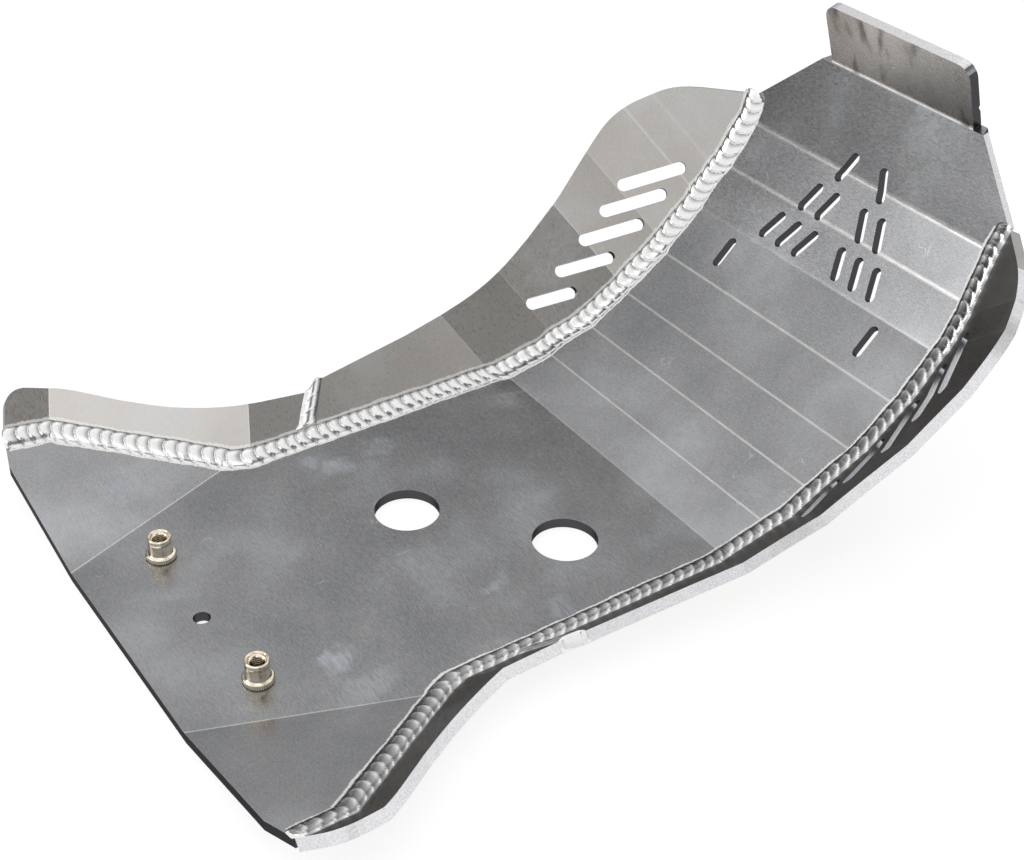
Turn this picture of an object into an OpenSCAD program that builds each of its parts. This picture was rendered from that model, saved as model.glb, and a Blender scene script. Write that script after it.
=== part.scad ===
// Motorcycle skid plate. One floor sheet is folded up in seven narrow panels to a
// taller front panel with a turned-back flange. Four folded wing sheets stand along
// its sides, two on each side. Ripple weld beads join them, and two threaded
// inserts sit in the floor near the rear edge.
// Millimetres. X points to the front, Y to the left, Z up.
// The origin is the centre of the flat floor's underside.

/* [Sheet] */
// Thickness of every sheet
sheet = 4.76; // [3:0.01:7]

/* [Floor] */
// Flat floor from the rear edge to the first front crease
floor_length = 233.5; // [205:0.5:270]
// Centre line to the inner corner of the side seam
seam_half = 84.6; // [78:0.1:92]
// Line of the side seam in to the ear crease, at the rear edge
ear_inset = 31.1; // [26:0.1:36]
// Turn of the ear crease away from straight back, in degrees
ear_turn = 20.5; // [17:0.1:24]
// Upward bend of each ear, in degrees
ear_bend = 13.2; // [8:0.1:18]
// Rear end of the seam in to the rear corner of the ear
corner_inset = 14.8; // [8:0.1:22]

/* [Front curve] */
// Length of each of the three lower panels
lower_panel = 25.4; // [20:0.1:32]
// Length of each of the two middle panels
middle_panel = 27.9; // [22:0.1:34]
// Length of each of the two upper panels
upper_panel = 24.6; // [20:0.1:30]
// Length of the tall front panel
face_panel = 42.4; // [34:0.1:50]
// Bend at the first crease, in degrees
first_bend = 11.2; // [6:0.1:14]
// Bend at each of the next seven creases, in degrees
panel_bend = 8.26; // [6:0.01:9]
// Half width of the front panel at its top fold
face_half = 49.4; // [46:0.1:56]
// Drop of the front panel's side edge for each millimetre it runs in
face_taper = 0.97; // [0.6:0.01:1.2]

/* [Flange] */
// Bend of the flange at the top fold, in degrees
flange_bend = 40.5; // [25:0.5:60]
// Length of the flange from the fold
flange_length = 31.6; // [20:0.1:45]
// Half width of the flange
flange_half = 43.9; // [38:0.1:46]
// Inside radius of the flange fold
fold_radius = 4; // [2:0.1:8]
// Corner radius of the flange
flange_corner = 7; // [3:0.1:12]
// Depth of the relief at each end of the fold
fold_relief = 0.4; // [0.2:0.1:4]

/* [Floor holes] */
// Diameter of the two drain holes
drain_d = 28.575; // [15:0.005:40]
// Rear edge to the rear drain hole
rear_drain_at = 137.5; // [110:0.5:150]
// Rear drain hole, distance left of the centre line
rear_drain_left = 15.5; // [0:0.5:40]
// Rear edge to the front drain hole
front_drain_at = 183.4; // [170:0.1:200]
// Front drain hole, distance right of the centre line
front_drain_right = 37.9; // [0:0.1:55]
// Diameter of the small rear hole
pilot_d = 7.1; // [4:0.1:12]
// Rear edge to the small hole
pilot_at = 32.8; // [20:0.1:60]
// Rear edge to the threaded inserts
insert_at = 35.4; // [25:0.1:60]
// Centre line to each threaded insert
insert_half = 43.6; // [30:0.1:52]

/* [Front slots] */
// Width of the front slots
vent_width = 4.8; // [3:0.1:6]
// Distance between the two end centres of a front slot
vent_reach = 11.6; // [7:0.1:13]
// Slant of the front slots, in degrees
vent_slant = 21; // [0:1:35]
// Sideways pitch of the front slots
vent_pitch = 11.3; // [9:0.1:13]
// Pitch of the three rows of front slots
vent_row = 20.1; // [18:0.1:23]
// Last narrow crease up to the top row
vent_top = 2.3; // [0:0.1:8]
// Last narrow crease down to the outer pair of slots
outer_vent_drop = 61.1; // [58:0.1:66]
// Centre line to each of the outer pair of slots
outer_vent_half = 48.3; // [40:0.1:60]

/* [Front wings] */
// Outward lean of the wings from upright, in degrees
lean = 48; // [40:0.5:54]
// Backward rake of the front wings' creases, in degrees
front_rake = 19.5; // [14:0.5:25]
// First floor crease to the first wing crease, along the seam
crease_1 = -5; // [-20:0.5:10]
// First wing crease to the second
bay_2 = 39; // [34:0.5:44]
// Second wing crease to the third
bay_3 = 44; // [38:0.5:50]
// Third wing crease to the fourth
bay_4 = 30; // [25:0.5:35]
// Fourth wing crease to the fifth
bay_5 = 29; // [24:0.5:34]
// Fifth wing crease to the sixth
bay_6 = 15; // [12:0.5:18]
// Last narrow crease to the end of the seam
nose_reach = 10.5; // [7:0.5:15]
// Height of the wings over the end of the seam
nose_height = 3.5; // [1.5:0.1:8]
// Inward shift of the seam at the fifth wing crease
tuck_5 = 0.6; // [0:0.1:2]
// Inward shift of the seam at the sixth wing crease
tuck_6 = 1.8; // [1:0.1:4]
// Inward shift of the seam at its front end
tuck_nose = 4.4; // [3:0.1:8]
// Height of the rear wings at the joint of front and rear wing
joint_height = 20.8; // [18:0.1:25]
// Rise from the rear wing's top edge to the front wing's at that joint
joint_step = 3.6; // [0:0.1:6]
// Forward rake of that joint from the seam to the top edge, in degrees
joint_rake = 33; // [20:0.5:36]
// Rise of each top edge for each millimetre away from that joint
joint_slope = 0.11; // [0:0.01:0.2]
// Length of the straight top edge beside that joint
joint_straight = 8; // [7:0.5:12]
// Front wing height 19 behind the first floor crease
height_1 = 35.6; // [30:0.1:40]
// Front wing height 28 past the first floor crease
height_2 = 43.6; // [39:0.1:48]
// Front wing height 75 past the first floor crease
height_3 = 52.8; // [48:0.1:57]
// Front wing height 121 past the first floor crease
height_4 = 60; // [55:0.1:65]
// Front wing height 133 past the first floor crease
height_5 = 58.9; // [55:0.1:62]
// Front wing height 147 past the first floor crease
height_6 = 52.2; // [48:0.1:56]
// Front wing height 165 past the first floor crease
height_7 = 39.5; // [35:0.1:44]

/* [Wing slots] */
// Width of the slots in the front wings
slot_width = 6.35; // [4:0.05:8]
// Length over the round ends of the longest wing slot
slot_length = 35.3; // [29:0.1:37]
// Length lost from the longest to the shortest wing slot
slot_shortening = 8.5; // [0:0.1:12]
// Downward slant of the wing slots, in degrees
slot_slant = 24.4; // [18:0.1:30]
// First floor crease to the foremost wing slot, along the seam
slot_front_at = 125; // [121:0.5:128]
// Height of the foremost wing slot over the seam
slot_height = 25.2; // [23:0.1:28]
// Drop of the slots for each millimetre further back
slot_drop = 0.08; // [0:0.005:0.12]
// Distance between the two foremost wing slots
slot_pitch = 15.6; // [14.5:0.1:16.5]
// Growth of that distance from each slot to the next
slot_growth = 1.16; // [1.1:0.005:1.18]

/* [Rear wings] */
// Forward rake of the rear wings' creases, in degrees
rear_rake = 20.5; // [15:0.5:26]
// Rear edge to the joint of front and rear wing
joint_at = 138; // [132:0.5:150]
// Gap between the front and the rear wing under the bead
joint_gap = 1; // [0.4:0.1:2]
// Rear edge to the fold where the rear wing turns out
fold_at = 97.6; // [88:0.1:106]
// Rear edge to the fold where the rear wing turns back
flare_at = 23.5; // [18:0.1:30]
// Outward run of the seam from its straight part to that fold
flare_out = 47; // [40:0.1:50]
// Rear edge to the rear end of the wing
tail_at = 4; // [2:0.1:8]
// Outward run of the seam from its straight part to its rear end
tail_out = 48.2; // [43:0.1:54]
// Rear wing height at the fold where it turns out
rear_height_1 = 26.1; // [22:0.1:30]
// Rear wing height a quarter along the flare
rear_height_2 = 21.5; // [18:0.1:25]
// Rear wing height midway along the flare
rear_height_3 = 20.2; // [16:0.1:24]
// Rear wing height near the end of the flare
rear_height_4 = 21.1; // [17:0.1:25]
// Rear wing height at the rear end
rear_height_5 = 24.9; // [21:0.1:29]
// Radius of the rear wing's rear top corner
tail_radius = 9.5; // [6:0.1:14]

/* [Welds] */
// Leg of the seam bead on the floor and on the wing
weld_leg = 5.6; // [4:0.1:7]
// Rise of the seam bead over a flat face between its two toes
weld_crown = 1.6; // [0.8:0.1:2.4]
// Spacing of the ripples
ripple_pitch = 3.8; // [3:0.1:6]
// Depth of the valley between two ripples
ripple_depth = 0.35; // [0.1:0.05:0.6]
// Bow of each ripple, rearward on the left bead and forward on the right
ripple_bow = 1.3; // [0:0.1:2]
// Reach of the rounded ends past the ends of the seam
bead_dome = 2; // [1:0.1:4]
// Width of the bead over the joint of front and rear wing
joint_bead = 8.6; // [6:0.1:10]

/* [Inserts] */
// Outside diameter of the insert body
insert_d = 9.9; // [8:0.1:13]
// Height of the insert over the floor
insert_rise = 10.9; // [8:0.1:16]
// Diameter of the swaged collar over the floor
collar_d = 12.75; // [11:0.05:17]
// Height of the swaged collar
collar_rise = 3; // [1.5:0.1:5]
// Diameter of the countersunk head on the underside
head_d = 13.6; // [12:0.1:18]
// Diameter of the threaded bore
thread_d = 5; // [3.5:0.1:6.5]
// Diameter of the mouth over the thread
mouth_d = 7.8; // [6:0.1:8.2]
// Depth of that mouth
mouth_depth = 1.6; // [0.5:0.1:4]
// Clearance of the insert in its hole
insert_clearance = 0.05; // [0.02:0.01:0.2]

/* [Hidden] */
$fn = 72;

sheet_colour = [0.66, 0.66, 0.67];
wing_colour = [0.74, 0.73, 0.72];
weld_colour = [0.9, 0.9, 0.9];
insert_colour = [0.84, 0.78, 0.66];

far = 400;
fold_facets = 9;
sector_lap = 0.2;
curve_step = 3;
narrow = 7;
last = narrow + 1;
joint_x = joint_at - floor_length;
joint_foot = joint_x - joint_height * tan(joint_rake) - 3;
front_joint = joint_height + joint_step;
ear_half = seam_half - ear_inset;
flare_half = seam_half + flare_out;
tail_half = seam_half + tail_out;
crease_2 = crease_1 + bay_2;
crease_3 = crease_2 + bay_3;
crease_4 = crease_3 + bay_4;
crease_5 = crease_4 + bay_5;
crease_6 = crease_5 + bay_6;

// Plane geometry
function unit(v) = v / norm(v);
function dir(a) = [cos(a), sin(a)];
function fine(p) = [for (c = p) round(c * 1000) / 1000];
function sorted(v) = len(v) < 2 ? v : let(p = v[0])
    concat(sorted([for (c = v) if (c < p) c]), [p], sorted([for (c = v) if (c > p) c]));
function sum(v, n) = n <= 0 ? 0 : v[n - 1] + sum(v, n - 1);

// Folded floor profile. Its panels are numbered from 0, the floor, to last, the
// front panel, and corner(i) is the crease at the start of panel i.
function slope(i) = i < 1 ? 0 : first_bend + (i - 1) * panel_bend;
function panel(i) = i < 4 ? lower_panel : i < 6 ? middle_panel : i < 8 ? upper_panel : face_panel;
function arc(i) = i < 2 ? 0 : arc(i - 1) + panel(i - 1);
function corner(i) = i < 2 ? [0, 0] : corner(i - 1) + panel(i - 1) * dir(slope(i - 1));
function panel_at(s) = len([for (i = [1:last]) if (arc(i) <= s) i]);
function on_profile(s) = let(i = panel_at(s))
    i < 1 ? [s, 0] : corner(i) + (s - arc(i)) * dir(slope(i));
function out(a) = [sin(a), -cos(a)];
function mitre(i, d) = let(a = slope(i - 1), b = slope(i))
    corner(i) + d / cos((b - a) / 2) * out((a + b) / 2);
top_slope = slope(last) + flange_bend;
fold_corner = corner(last + 1);
fold_centre = fold_corner
    - fold_radius / cos(flange_bend / 2) * out(slope(last) + flange_bend / 2);
fold_turn = flange_bend / fold_facets;
function fold_point(k, d) = fold_centre
    + (fold_radius + d) / cos(fold_turn / 2) * out(slope(last) + (k + 0.5) * fold_turn);
function profile(d) = concat(
    [[-floor_length - 60, -d]],
    [for (i = [1:last]) mitre(i, d)],
    [for (k = [0:fold_facets - 1]) fold_point(k, d)],
    [fold_corner + d * out(top_slope) + far / 3 * dir(top_slope)],
    [[-floor_length - 60, fold_corner[1] + far / 3]]);

// Height of the ears over the floor, and a point of the top side at seam
// station s (distance past the first crease) and distance y off the centre line
ear_gain = tan(ear_bend);
function ear_height(x, y) =
    ear_gain * ((y - ear_half) * cos(ear_turn) - (x + floor_length) * sin(ear_turn));
function skin(s, y) = s > 0
    ? let(p = on_profile(s)) [p[0], y, p[1]]
    : [s, y, max(0, ear_height(s, y))];

// Wing frames: along, out through the sheet, and up the creases
function along(r) = [cos(r), sin(r) * sin(lean), sin(r) * cos(lean)];
function through() = [0, cos(lean), -sin(lean)];
function up(r) = [-sin(r), cos(r) * sin(lean), cos(r) * cos(lean)];
function local(p, r) = [p * along(r), p * through(), p * up(r)];

// Wings: seam stations, half widths, and foot points across the creases
front_stations = [joint_foot - 5, crease_1, crease_2, crease_3, crease_4, crease_5,
                  crease_6, arc(last) + nose_reach];
front_halves = [seam_half, seam_half, seam_half, seam_half, seam_half,
                seam_half - tuck_5, seam_half - tuck_6, seam_half - tuck_nose];
rear_stations = [tail_at - floor_length, flare_at - floor_length,
                 fold_at - floor_length, joint_x + 20];
rear_halves = [tail_half, flare_half, seam_half, seam_half];
function feet(st, hw, r) = [for (i = [0:len(st) - 1])
    let(q = local(skin(st[i], hw[i]), r)) fine([q[0], q[1]])];
front_feet = feet(front_stations, front_halves, front_rake);
rear_feet = feet(rear_stations, rear_halves, -rear_rake);
function heading(f, i) = let(d = f[i + 1] - f[i]) atan2(d[1], d[0]);
function run(f, i) = i < 1 ? 0 : run(f, i - 1) + norm(f[i] - f[i - 1]);

// Half width of the seam at station s, in wing panel i
function half_on(x, z0, z1, f, i, r) = let(
    t = heading(f, i),
    a0 = x * cos(r) + z0 * sin(r) * cos(lean),
    a1 = sin(r) * (sin(lean) + z1 * cos(lean)),
    b0 = -z0 * sin(lean),
    b1 = cos(lean) - z1 * sin(lean))
    (sin(t) * (a0 - f[i][0]) - cos(t) * (b0 - f[i][1])) / (cos(t) * b1 - sin(t) * a1);
function half_at(s, f, i, r) = s > 0
    ? let(p = on_profile(s)) half_on(p[0], p[1], 0, f, i, r)
    : let(y = half_on(s, 0, 0, f, i, r)) ear_height(s, y) <= 0 ? y
    : half_on(s, -ear_gain * (ear_half * cos(ear_turn) + (s + floor_length) * sin(ear_turn)),
              ear_gain * cos(ear_turn), f, i, r);
function wing_panel(s, st) = max(0, len([for (c = st) if (c <= s) c]) - 1 - (s >= st[len(st) - 1] ? 1 : 0));
function seam(s) = s >= joint_x
    ? skin(s, half_at(s, front_feet, wing_panel(s, front_stations), front_rake))
    : skin(s, half_at(s, rear_feet, wing_panel(s, rear_stations), -rear_rake));

// Flat pattern of a wing: distance along the folded sheet and height up a crease
function flat(s, h, st, f, r) = let(i = wing_panel(s, st), q = local(seam(s), r))
    [run(f, i) + ([q[0], q[1]] - f[i]) * dir(heading(f, i)), q[2] + h];
function flat_joint(x, h, f, r, i) = let(
    q = local([x, seam_half + h * sin(lean), h * cos(lean)], r))
    [run(f, i) + ([q[0], q[1]] - f[i]) * dir(heading(f, i)), q[2]];

// Smooth curve through control points
function grade(p, q) = (q[1] - p[1]) / (q[0] - p[0]);
function tangent(c, i) = grade(c[max(0, i - 1)], c[min(len(c) - 1, i + 1)]);
function between(p, q, m, n, t) = let(w = q[0] - p[0]) [
    p[0] + t * w,
    (2 * t * t * t - 3 * t * t + 1) * p[1] + (t * t * t - 2 * t * t + t) * w * m
    + (3 * t * t - 2 * t * t * t) * q[1] + (t * t * t - t * t) * w * n];
function curve(c) = concat([for (i = [0:len(c) - 2])
    let(n = ceil(abs(c[i + 1][0] - c[i][0]) / curve_step))
    for (k = [0:n - 1]) between(c[i], c[i + 1], tangent(c, i), tangent(c, i + 1), k / n)],
    [c[len(c) - 1]]);

// Top edges and feet of the wings in the flat pattern
function front_flat(s, h) = flat(s, h, front_stations, front_feet, front_rake);
function rear_flat(s, h) = flat(s, h, rear_stations, rear_feet, -rear_rake);
nose = front_flat(arc(last) + nose_reach, nose_height);
shoulder = front_flat(crease_6 + 13, height_7);
front_top = concat(
    [flat_joint(joint_x - 4, front_joint - joint_slope * 4, front_feet, front_rake, 0)],
    curve([flat_joint(joint_x + joint_straight, front_joint + joint_slope * joint_straight,
                      front_feet, front_rake, 0),
           front_flat(crease_1 - 14, height_1), front_flat(crease_2 - 6, height_2),
           front_flat(crease_3 - 3, height_3), front_flat(crease_4 + 12, height_4),
           front_flat(crease_5 - 4, height_5), front_flat(crease_6 - 5, height_6),
           shoulder, nose]),
    [nose + [12, -20]]);
flare_length = fold_at - flare_at;
tail_u = run(rear_feet, 0);
tail_top = rear_flat(tail_at - floor_length, rear_height_5);
rear_top = concat(
    [for (a = [0:10:80]) tail_top + tail_radius * [1 - cos(a), sin(a) - 1]],
    curve([tail_top + [tail_radius, 0],
           rear_flat(flare_at + 5 - floor_length, rear_height_4),
           rear_flat(flare_at + flare_length * 0.38 - floor_length, rear_height_3),
           rear_flat(flare_at + flare_length * 0.65 - floor_length, rear_height_2),
           rear_flat(fold_at - 3.2 - floor_length, rear_height_1),
           flat_joint(joint_x - joint_straight, joint_height + joint_slope * joint_straight,
                      rear_feet, -rear_rake, 2)]),
    [flat_joint(joint_x + 4, joint_height - joint_slope * 4, rear_feet, -rear_rake, 2)]);
creases = [for (i = [1:last]) arc(i)];
front_seam = sorted(concat([joint_foot, arc(last) + nose_reach],
    [for (i = [1:6]) front_stations[i]], creases));
rear_seam = concat([for (k = [0:14]) rear_stations[0] + k / 14 * (rear_stations[1] - rear_stations[0])],
    [for (k = [1:24]) rear_stations[1] + k / 24 * (rear_stations[2] - rear_stations[1])], [joint_x]);

// Sheet thickness along a mitre, and the sector of the sheet between two folds
function mitre_out(f, i) = let(n = len(f) - 1,
    a = heading(f, max(0, i - 1)), b = heading(f, min(n - 1, i)))
    [-sin((a + b) / 2), cos((a + b) / 2)] / cos((b - a) / 2);
function outer(f, i, d) = fine(f[i] + d * mitre_out(f, i));
module band(f) {
    n = len(f) - 1;
    polygon(concat([for (i = [0:n]) f[i]], [for (i = [n:-1:0]) outer(f, i, sheet)]));
}
module sector(f, i) {
    n = len(f) - 1;
    a = (i == 0 ? -30 : -sector_lap) * dir(heading(f, i));
    b = (i == n - 1 ? 30 : sector_lap) * dir(heading(f, i));
    polygon(concat(
        [for (d = [-3, 0, sheet, sheet + 5]) (d == 0 ? f[i] : outer(f, i, d)) + a],
        [for (d = [sheet + 5, sheet, 0, -3]) (d == 0 ? f[i + 1] : outer(f, i + 1, d)) + b]));
}
function beyond(p, y) = let(a = p[0], b = p[len(p) - 1])
    concat([[a[0] - 60, y], [a[0] - 60, a[1]]], p, [[b[0] + 60, b[1]], [b[0] + 60, y]]);
function near(p, lo, hi) = [for (q = p) if (q[0] > lo - 12 && q[0] < hi + 12) q];

// Places a shape drawn in the flat pattern on wing panel i, as a cut through it
module on_wing(f, i) {
    translate([f[i][0], f[i][1], 0])
        rotate([0, 0, heading(f, i)])
            rotate([90, 0, 0])
                translate([-run(f, i), 0, -sheet - 1.5])
                    linear_extrude(sheet + 3)
                        children();
}
module trim(f, i, top, foot) {
    n = len(f) - 1;
    lo = run(f, i) - (i == 0 ? 30 : 0);
    hi = run(f, i + 1) + (i == n - 1 ? 30 : 0);
    t = near(top, lo, hi);
    b = near(foot, lo, hi);
    on_wing(f, i) {
        polygon(beyond(t, far));
        polygon(beyond(b, -far));
    }
}
module trimmed(f, top, foot, i) {
    if (i < 0)
        translate([0, 0, -90])
            linear_extrude(360)
                band(f);
    else
        difference() {
            trimmed(f, top, foot, i - 1);
            intersection() {
                translate([0, 0, -100])
                    linear_extrude(380)
                        sector(f, i);
                trim(f, i, top, foot);
            }
        }
}
module folded(f, top, foot, r) {
    rotate([-lean, 0, 0])
        rotate([0, -r, 0])
            trimmed(f, top, foot, len(f) - 2);
}

// Slot through the folded front wing between two points of the flat pattern
function bent(u, f) = let(i = max(0, len([for (k = [0:len(f) - 2]) if (run(f, k) <= u) k]) - 1))
    f[i] + (u - run(f, i)) * dir(heading(f, i));
module wing_slot(k) {
    back = slot_pitch * (pow(slot_growth, k) - 1) / (slot_growth - 1);
    mid = front_flat(slot_front_at - back, slot_height - slot_drop * back);
    reach = (slot_length - slot_shortening * pow(k / 4, 3) - slot_width) / 2;
    ends = [for (g = [-1, 1]) mid + g * reach * [cos(slot_slant), -sin(slot_slant)]];
    p = [for (e = ends) let(q = bent(e[0], front_feet)) [q[0], q[1], e[1]]];
    x = unit(p[1] - p[0]);
    y = unit(cross([0, 0, 1], x));
    z = cross(x, y);
    rotate([-lean, 0, 0])
        rotate([0, -front_rake, 0])
            multmatrix([[x[0], y[0], z[0], p[0][0]],
                        [x[1], y[1], z[1], p[0][1]],
                        [x[2], y[2], z[2], p[0][2]]])
                rotate([-90, 0, 0])
                    translate([0, 0, -3]) {
                        cylinder(h = sheet + 6, d = slot_width);
                        translate([norm(p[1] - p[0]), 0, 0])
                            cylinder(h = sheet + 6, d = slot_width);
                        translate([0, -slot_width / 2, 0])
                            cube([norm(p[1] - p[0]), slot_width, sheet + 6]);
                    }
}

module place() {
    translate([floor_length / 2, 0, sheet])
        children();
}
module past_joint(x0, x1) {
    translate([joint_x, seam_half, 0])
        rotate([-lean, 0, 0])
            translate([0, 0, joint_height])
                rotate([0, joint_rake, 0])
                    translate([x0, -far, -far])
                        cube([x1 - x0, 2 * far, 2 * far]);
}

module front_wing() {
    color(wing_colour)
        place()
            difference() {
                folded(front_feet, front_top, [for (s = front_seam) front_flat(s, 0)], front_rake);
                past_joint(-far, joint_gap / 2);
                for (k = [0:4])
                    wing_slot(k);
            }
}
module rear_wing() {
    color(wing_colour)
        place()
            difference() {
                folded(rear_feet, rear_top, [for (s = rear_seam) rear_flat(s, 0)], -rear_rake);
                past_joint(-joint_gap / 2, far);
            }
}

// Everything above the folded floor profile and the two ears, moved out by d
module above_ear(d) {
    translate([-floor_length, ear_half, 0])
        rotate([0, 0, ear_turn])
            rotate([ear_bend, 0, 0])
                translate([-far, -far, -d])
                    cube([2 * far, 2 * far, far]);
}
module tub(d) {
    intersection() {
        translate([0, 170, 0])
            rotate([90, 0, 0])
                linear_extrude(340)
                    polygon(profile(d));
        above_ear(d);
        mirror([0, 1, 0])
            above_ear(d);
    }
}
module on_slope(p, a) {
    translate([p[0], 0, p[1]])
        rotate([0, -a, 0])
            children();
}
module cut_slope(p, a) {
    on_slope(p, a)
        translate([0, 0, -sheet - 3])
            linear_extrude(sheet + 6)
                children();
}
side_points = [for (s = front_seam) if (s > 0) let(p = seam(s)) [p[0], p[1]]];
plan_half = concat(
    [[-floor_length, tail_half - corner_inset]],
    [for (s = [rear_stations[0], rear_stations[1]]) let(p = seam(s)) [s, p[1]]],
    [let(p = seam(rear_stations[2] - 8)) [p[0], p[1]]],
    [[rear_stations[2], seam_half], [0, seam_half]],
    side_points,
    [[corner(last + 1)[0] + 40, side_points[len(side_points) - 1][1] + 2]]);
module side_cuts() {
    cut_slope(corner(last), slope(last))
        polygon([[face_panel - (120 - face_half) * face_taper, 120],
                 [face_panel, face_half], [face_panel + 12, face_half - 8], [face_panel + 12, 120]]);
    cut_slope(fold_corner, top_slope) {
        translate([-fold_relief * cos(flange_bend), flange_half])
            square([far / 2, 80]);
        difference() {
            translate([flange_length - flange_corner, flange_half - flange_corner])
                square(2 * flange_corner);
            translate([flange_length - flange_corner, flange_half - flange_corner])
                circle(flange_corner);
        }
    }
}
module vent(s, y, slant) {
    on_slope(on_profile(s), slope(panel_at(s)))
        translate([0, y, -sheet - 3])
            rotate([0, 0, slant]) {
                for (g = [-0.5, 0.5])
                    translate([g * vent_reach, 0, 0])
                        cylinder(h = sheet + 6, d = vent_width, $fn = 32);
                translate([-vent_reach / 2, -vent_width / 2, 0])
                    cube([vent_reach, vent_width, sheet + 6]);
            }
}
module floor_hole(from_rear, left, d) {
    translate([from_rear - floor_length, left, -sheet - 2])
        cylinder(h = sheet + 4, d = d);
}
module vents() {
    for (row = [1:3])
        for (k = [1:row])
            vent(arc(last) + vent_top - (row - 1) * vent_row, k * vent_pitch, -vent_slant);
    vent(arc(last) - outer_vent_drop, outer_vent_half, 0);
}
head_depth = (head_d - insert_d) / 2;
module center_plate() {
    color(sheet_colour)
        place()
            difference() {
                tub(sheet);
                tub(0);
                difference() {
                    translate([-far, -far / 2, -50])
                        cube([2 * far, far, 2 * far]);
                    translate([0, 0, -60])
                        linear_extrude(60 + fold_corner[1] + flange_length + 10)
                            polygon(concat(plan_half,
                                [for (i = [len(plan_half) - 1:-1:0]) [plan_half[i][0], -plan_half[i][1]]]));
                }
                side_cuts();
                mirror([0, 1, 0])
                    side_cuts();
                on_slope(fold_corner, top_slope)
                    translate([flange_length, -80, -20])
                        cube([far / 2, 160, 40]);
                vents();
                mirror([0, 1, 0])
                    vents();
                floor_hole(rear_drain_at, rear_drain_left, drain_d);
                floor_hole(front_drain_at, -front_drain_right, drain_d);
                floor_hole(pilot_at, 0, pilot_d);
                for (g = [-1, 1]) {
                    floor_hole(insert_at, g * insert_half, insert_d + 2 * insert_clearance);
                    translate([insert_at - floor_length, g * insert_half, -sheet])
                        cylinder(h = head_depth, d1 = head_d, d2 = insert_d);
                }
            }
}

// Threaded insert: countersunk head, shank in the hole, swaged collar, body
module rivet_nut() {
    color(insert_colour)
        place()
            translate([insert_at - floor_length, insert_half, 0])
                rotate_extrude()
                    polygon([[thread_d / 2, -sheet], [head_d / 2, -sheet],
                             [insert_d / 2, -sheet + head_depth], [insert_d / 2, 0],
                             [collar_d / 2 - 0.6, 0], [collar_d / 2, 0.6],
                             [collar_d / 2, collar_rise - 0.9],
                             [collar_d / 2 - 0.5, collar_rise - 0.3],
                             [insert_d / 2, collar_rise], [insert_d / 2, insert_rise - 0.5],
                             [insert_d / 2 - 0.5, insert_rise], [mouth_d / 2, insert_rise],
                             [mouth_d / 2 - 0.3, insert_rise - mouth_depth],
                             [thread_d / 2, insert_rise - mouth_depth - 0.6]]);
}

// Seam bead: rings along the seam, from the tail to the nose
function split(a, b) = let(n = max(1, round(norm(seam(b) - seam(a)) / (ripple_pitch / 2))))
    [for (k = [0:n - 1]) a + (b - a) * k / n];
seam_keys = concat([rear_stations[0], rear_stations[1], rear_stations[2]], front_seam);
bead_end = arc(last) + nose_reach + 5;
bead_stations = concat(
    [for (i = [0:len(seam_keys) - 2]) each split(seam_keys[i], seam_keys[i + 1])],
    [seam_keys[len(seam_keys) - 1]]);
function blend(s, at, w) = min(1, max(0, (s - at + w) / (2 * w)));
function rake_at(s) = -rear_rake + (rear_rake + front_rake)
    * min(1, max(0, (s - rear_stations[2]) / (crease_1 - rear_stations[2])));
flare_plan = seam(rear_stations[2] - 30) - seam(rear_stations[1]);
flare_angle = atan2(-flare_plan[1], flare_plan[0]);
tail_plan = seam(rear_stations[1]) - seam(rear_stations[0]);
tail_angle = atan2(-tail_plan[1], tail_plan[0]);
function toe_angle(s) = -90 - tail_angle
    + (tail_angle - flare_angle) * blend(s, rear_stations[1], 5)
    + flare_angle * blend(s, rear_stations[2], 6);
function toe_in(s, k) = let(a = toe_angle(s), x = k[0] + weld_leg * cos(a), y = k[1] + weld_leg * sin(a))
    s > 0 ? [k[0], k[1] - weld_leg, k[2]] : [x, y, max(0, ear_height(x, y))];
function toe_up(s, k) = k + weld_leg * [-tan(rake_at(s)), sin(lean), cos(lean)];
function ring(s, high, g) = let(
    k = seam(s), b = toe_in(s, k), w = toe_up(s, k),
    f = unit(seam(min(s + 2, bead_end - 5)) - seam(min(s, bead_end - 7))),
    n = unit(cross(f, w - b)),
    rise = weld_crown - (high ? 0 : ripple_depth))
    [b, each [for (q = [0.22, 0.5, 0.78]) b + q * (w - b)
        + 4 * q * (1 - q) * (rise * n + g * ripple_bow * f)], w, k];
function shrink(r, scale, shift) = let(c = (r[1] + r[2] + r[3]) / 3)
    [for (p = r) c + scale * (p - c) + shift];
tail_way = unit(seam(rear_stations[0]) - seam(rear_stations[1]));
nose_way = unit([dir(slope(last))[0], -0.1, dir(slope(last))[1]]);
function bead_rings(g) = let(
    first = ring(bead_stations[0], true, g),
    end = ring(bead_stations[len(bead_stations) - 1], true, g))
    concat([shrink(first, 0.45, bead_dome * tail_way), shrink(first, 0.85, 0.6 * bead_dome * tail_way)],
    [for (i = [0:len(bead_stations) - 1]) ring(bead_stations[i], i % 2 == 1, g)],
    [shrink(end, 0.85, 0.6 * bead_dome * nose_way), shrink(end, 0.45, bead_dome * nose_way)]);
module tube(rings) {
    m = len(rings[0]);
    n = len(rings);
    polyhedron(
        points = [for (r = rings) each r],
        faces = concat(
            [for (k = [1:m - 2]) [2, (2 + k) % m, (3 + k) % m]],
            [for (i = [0:n - 2]) for (j = [0:m - 1]) let(q = i * m, e = (j + 1) % m)
                [q + j, q + m + j, q + m + e]],
            [for (i = [0:n - 2]) for (j = [0:m - 1]) let(q = i * m, e = (j + 1) % m)
                [q + j, q + m + e, q + e]],
            [for (k = [1:m - 2]) [for (j = [2, 3 + k, 2 + k]) (n - 1) * m + j % m]]));
}
module seam_weld(g) {
    color(weld_colour)
        place()
            tube(bead_rings(g));
}

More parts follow.
